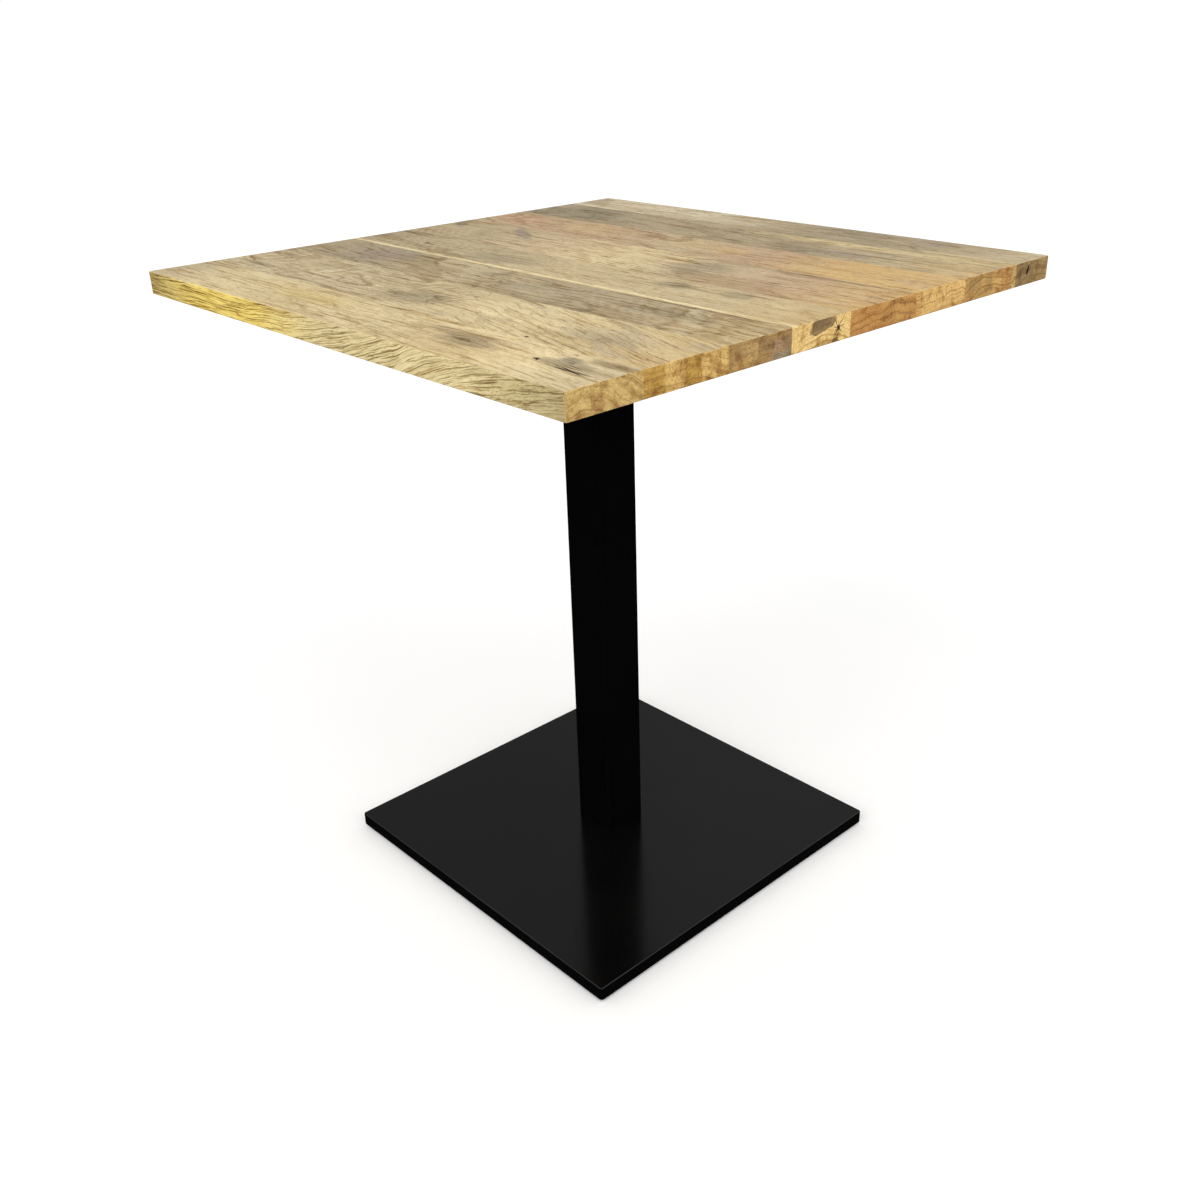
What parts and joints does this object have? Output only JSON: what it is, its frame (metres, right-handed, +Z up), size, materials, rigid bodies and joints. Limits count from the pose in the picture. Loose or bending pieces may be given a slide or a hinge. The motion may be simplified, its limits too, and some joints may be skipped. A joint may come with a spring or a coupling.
{
  "type": "bistro table",
  "caption": "Square bistro table: oiled solid wood top of glued staves on a square black steel column with a flat weighted square base and levelling glides.",
  "frame": {"origin": "on the floor under the middle of the column", "axes": "+Z up; +X along the grain of the top; +Y across the staves"},
  "size_m": [0.7, 0.7, 0.75],
  "materials": {
    "wood_light": "oiled mango-type hardwood, satin, streaky grain with curl and small knots",
    "wood_dark": "oiled mango-type hardwood, grey-brown heartwood, satin",
    "powder_coat": "satin black powder coat with a fine texture",
    "black_casting": "black painted casting, slightly rough",
    "ballast": "raw casting with a thin dark primer",
    "zinc": "bright zinc plating",
    "nylon": "moulded black nylon"
  },
  "bodies": {
    "table_frame": {"tabletop_stave_1": "wood_light", "tabletop_stave_2": "wood_light", "tabletop_stave_3": "wood_dark", "tabletop_stave_4": "wood_light", "tabletop_stave_5": "wood_light", "tabletop_stave_6": "wood_light", "tabletop_stave_7": "wood_dark", "tabletop_stave_8": "wood_light", "spider": "black_casting", "wood_screw_1": "zinc", "wood_screw_2": "zinc", "wood_screw_3": "zinc", "wood_screw_4": "zinc", "wood_screw_5": "zinc", "wood_screw_6": "zinc", "wood_screw_7": "zinc", "wood_screw_8": "zinc", "column_tube": "powder_coat", "base_cover": "powder_coat", "ballast_plate": "ballast", "tie_rod": "zinc", "tie_rod_lower_washer": "zinc", "tie_rod_lower_nut": "zinc", "tie_rod_upper_washer": "zinc", "tie_rod_upper_nut": "zinc"},
    "foot_1": {"glide_pad_1": "nylon"},
    "foot_2": {"glide_pad_2": "nylon"},
    "foot_3": {"glide_pad_3": "nylon"},
    "foot_4": {"glide_pad_4": "nylon"},
    "stem_1": {"glide_stem_1": "zinc"},
    "stem_2": {"glide_stem_2": "zinc"},
    "stem_3": {"glide_stem_3": "zinc"},
    "stem_4": {"glide_stem_4": "zinc"}
  },
  "joints": [
    {"name": "glide_travel_1", "type": "slide", "parent": "table_frame", "child": "foot_1", "axis": [0, 0, -1], "range_m": [0, 0.005]},
    {"name": "glide_travel_2", "type": "slide", "parent": "table_frame", "child": "foot_2", "axis": [0, 0, -1], "range_m": [0, 0.005]},
    {"name": "glide_travel_3", "type": "slide", "parent": "table_frame", "child": "foot_3", "axis": [0, 0, -1], "range_m": [0, 0.005]},
    {"name": "glide_travel_4", "type": "slide", "parent": "table_frame", "child": "foot_4", "axis": [0, 0, -1], "range_m": [0, 0.005]},
    {"name": "stem_turn_1", "type": "hinge", "parent": "foot_1", "child": "stem_1", "pos_m": [-0.2, -0.2, 0.008], "axis": [0, 0, -1], "range_deg": [0, 1440]},
    {"name": "stem_turn_2", "type": "hinge", "parent": "foot_2", "child": "stem_2", "pos_m": [0.2, -0.2, 0.008], "axis": [0, 0, -1], "range_deg": [0, 1440]},
    {"name": "stem_turn_3", "type": "hinge", "parent": "foot_3", "child": "stem_3", "pos_m": [0.2, 0.2, 0.008], "axis": [0, 0, -1], "range_deg": [0, 1440]},
    {"name": "stem_turn_4", "type": "hinge", "parent": "foot_4", "child": "stem_4", "pos_m": [-0.2, 0.2, 0.008], "axis": [0, 0, -1], "range_deg": [0, 1440]}
  ],
  "couplings": [
    {"joint": "stem_turn_1", "follows": "glide_travel_1", "rad_per_m": 5026.5},
    {"joint": "stem_turn_2", "follows": "glide_travel_2", "rad_per_m": 5026.5},
    {"joint": "stem_turn_3", "follows": "glide_travel_3", "rad_per_m": 5026.5},
    {"joint": "stem_turn_4", "follows": "glide_travel_4", "rad_per_m": 5026.5}
  ]
}
